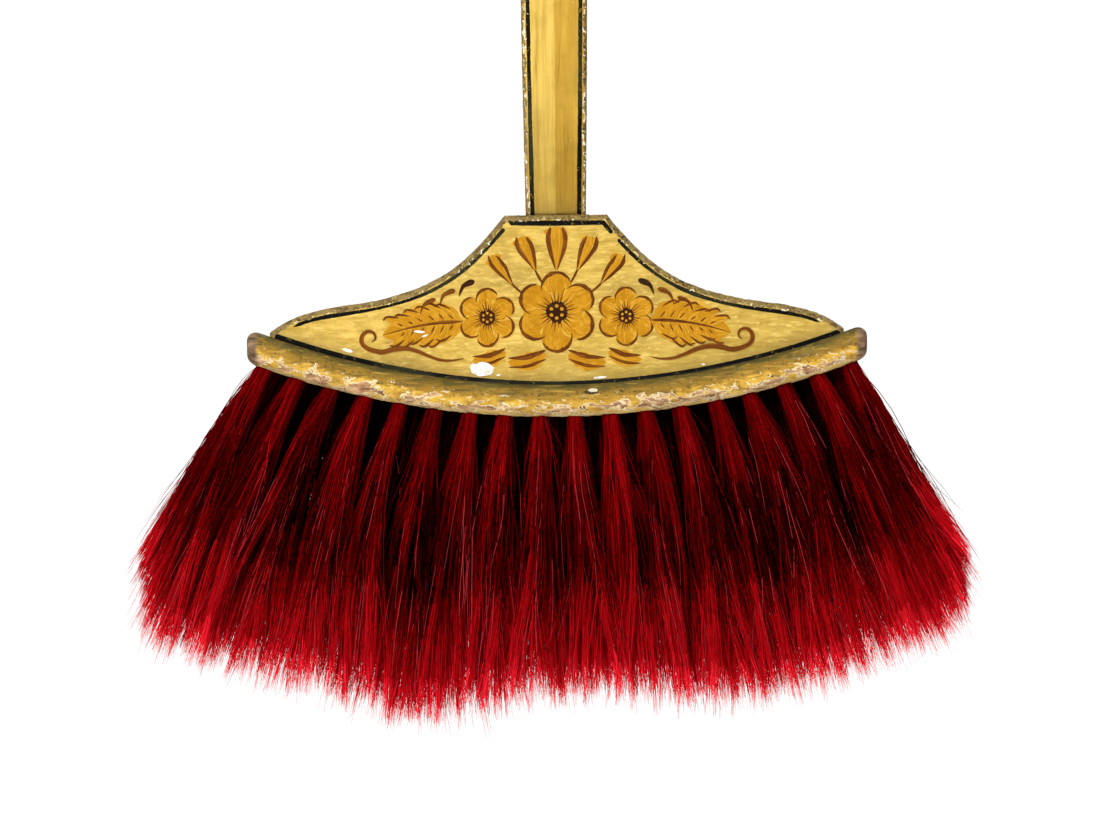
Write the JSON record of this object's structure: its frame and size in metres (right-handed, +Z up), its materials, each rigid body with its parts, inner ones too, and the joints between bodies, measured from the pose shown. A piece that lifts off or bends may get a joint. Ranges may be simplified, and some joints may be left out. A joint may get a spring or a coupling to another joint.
{
  "type": "hair broom",
  "caption": "Long-handled broom: a flat tapering wooden handle tenoned into a painted fan-shaped head board, on a curved rail set with knots of red hair.",
  "frame": {"origin": "under the middle of the hair, level with its lowest tips", "axes": "+Z up along the handle, +X to the right along the board as seen from the painted front, -Y out of the painted front"},
  "size_m": [0.346, 0.0594, 1.15],
  "materials": {
    "handle_paint": "satin",
    "board_paint": "satin",
    "rail_paint": "matte",
    "dyed_hair": "satin",
    "thread": "matte",
    "pitch": "matte",
    "screw_steel": "satin"
  },
  "bodies": {
    "root": {"handle": "handle_paint", "head_board": "board_paint", "tuft_rail": "rail_paint", "rail_screws": "screw_steel", "tenon_screws": "screw_steel", "pitch_plugs": "pitch", "knot_bindings": "thread", "front_tuft_01": "dyed_hair", "front_tuft_02": "dyed_hair", "front_tuft_03": "dyed_hair", "front_tuft_04": "dyed_hair", "front_tuft_05": "dyed_hair", "front_tuft_06": "dyed_hair", "front_tuft_07": "dyed_hair", "front_tuft_08": "dyed_hair", "front_tuft_09": "dyed_hair", "front_tuft_10": "dyed_hair", "front_tuft_11": "dyed_hair", "front_tuft_12": "dyed_hair", "front_tuft_13": "dyed_hair", "front_tuft_14": "dyed_hair", "front_tuft_15": "dyed_hair", "front_tuft_16": "dyed_hair", "front_tuft_17": "dyed_hair", "front_tuft_18": "dyed_hair", "middle_tuft_01": "dyed_hair", "middle_tuft_02": "dyed_hair", "middle_tuft_03": "dyed_hair", "middle_tuft_04": "dyed_hair", "middle_tuft_05": "dyed_hair", "middle_tuft_06": "dyed_hair", "middle_tuft_07": "dyed_hair", "middle_tuft_08": "dyed_hair", "middle_tuft_09": "dyed_hair", "middle_tuft_10": "dyed_hair", "middle_tuft_11": "dyed_hair", "middle_tuft_12": "dyed_hair", "middle_tuft_13": "dyed_hair", "middle_tuft_14": "dyed_hair", "middle_tuft_15": "dyed_hair", "middle_tuft_16": "dyed_hair", "middle_tuft_17": "dyed_hair", "back_tuft_01": "dyed_hair", "back_tuft_02": "dyed_hair", "back_tuft_03": "dyed_hair", "back_tuft_04": "dyed_hair", "back_tuft_05": "dyed_hair", "back_tuft_06": "dyed_hair", "back_tuft_07": "dyed_hair", "back_tuft_08": "dyed_hair", "back_tuft_09": "dyed_hair", "back_tuft_10": "dyed_hair", "back_tuft_11": "dyed_hair", "back_tuft_12": "dyed_hair", "back_tuft_13": "dyed_hair", "back_tuft_14": "dyed_hair", "back_tuft_15": "dyed_hair", "back_tuft_16": "dyed_hair", "back_tuft_17": "dyed_hair", "back_tuft_18": "dyed_hair"}
  },
  "joints": []
}
